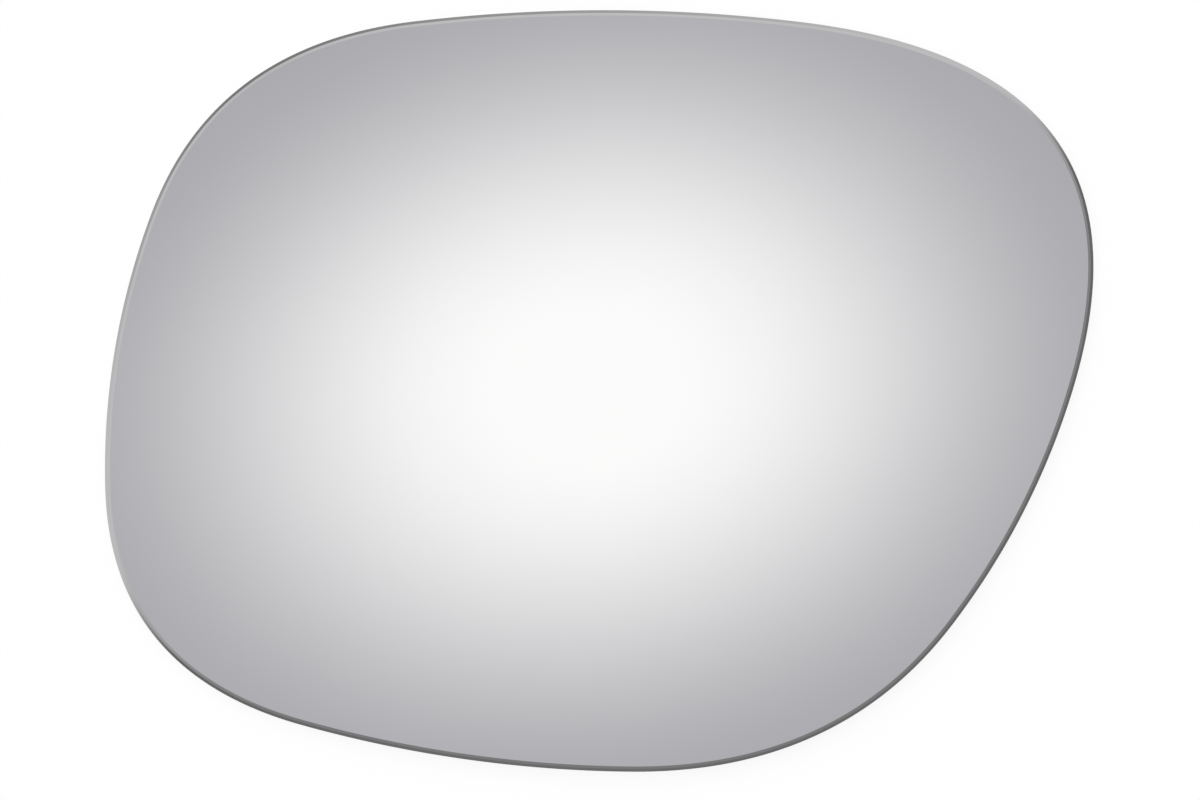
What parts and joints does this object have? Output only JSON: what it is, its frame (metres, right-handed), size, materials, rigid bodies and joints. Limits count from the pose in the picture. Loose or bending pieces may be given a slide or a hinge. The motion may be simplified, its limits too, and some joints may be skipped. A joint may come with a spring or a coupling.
{
  "type": "car door mirror glass",
  "caption": "Convex mirror pane for a car door mirror, with a rounded wing-shaped outline, a silvered back and a ground arris round its rim.",
  "frame": {"origin": "the middle of the hollow back face, on the optical axis, where the glass is bonded to its carrier", "axes": "+Z along the optical axis, out of the mirror face; +X to the right and +Y up, as the driver sees the mirror"},
  "size_m": [0.1781, 0.1369, 0.0052],
  "materials": {
    "mirror_glass": "polished front face silvered behind, fine-ground arris, grey paint over the silver"
  },
  "bodies": {
    "root": {"mirror_glass": "mirror_glass"}
  },
  "joints": []
}
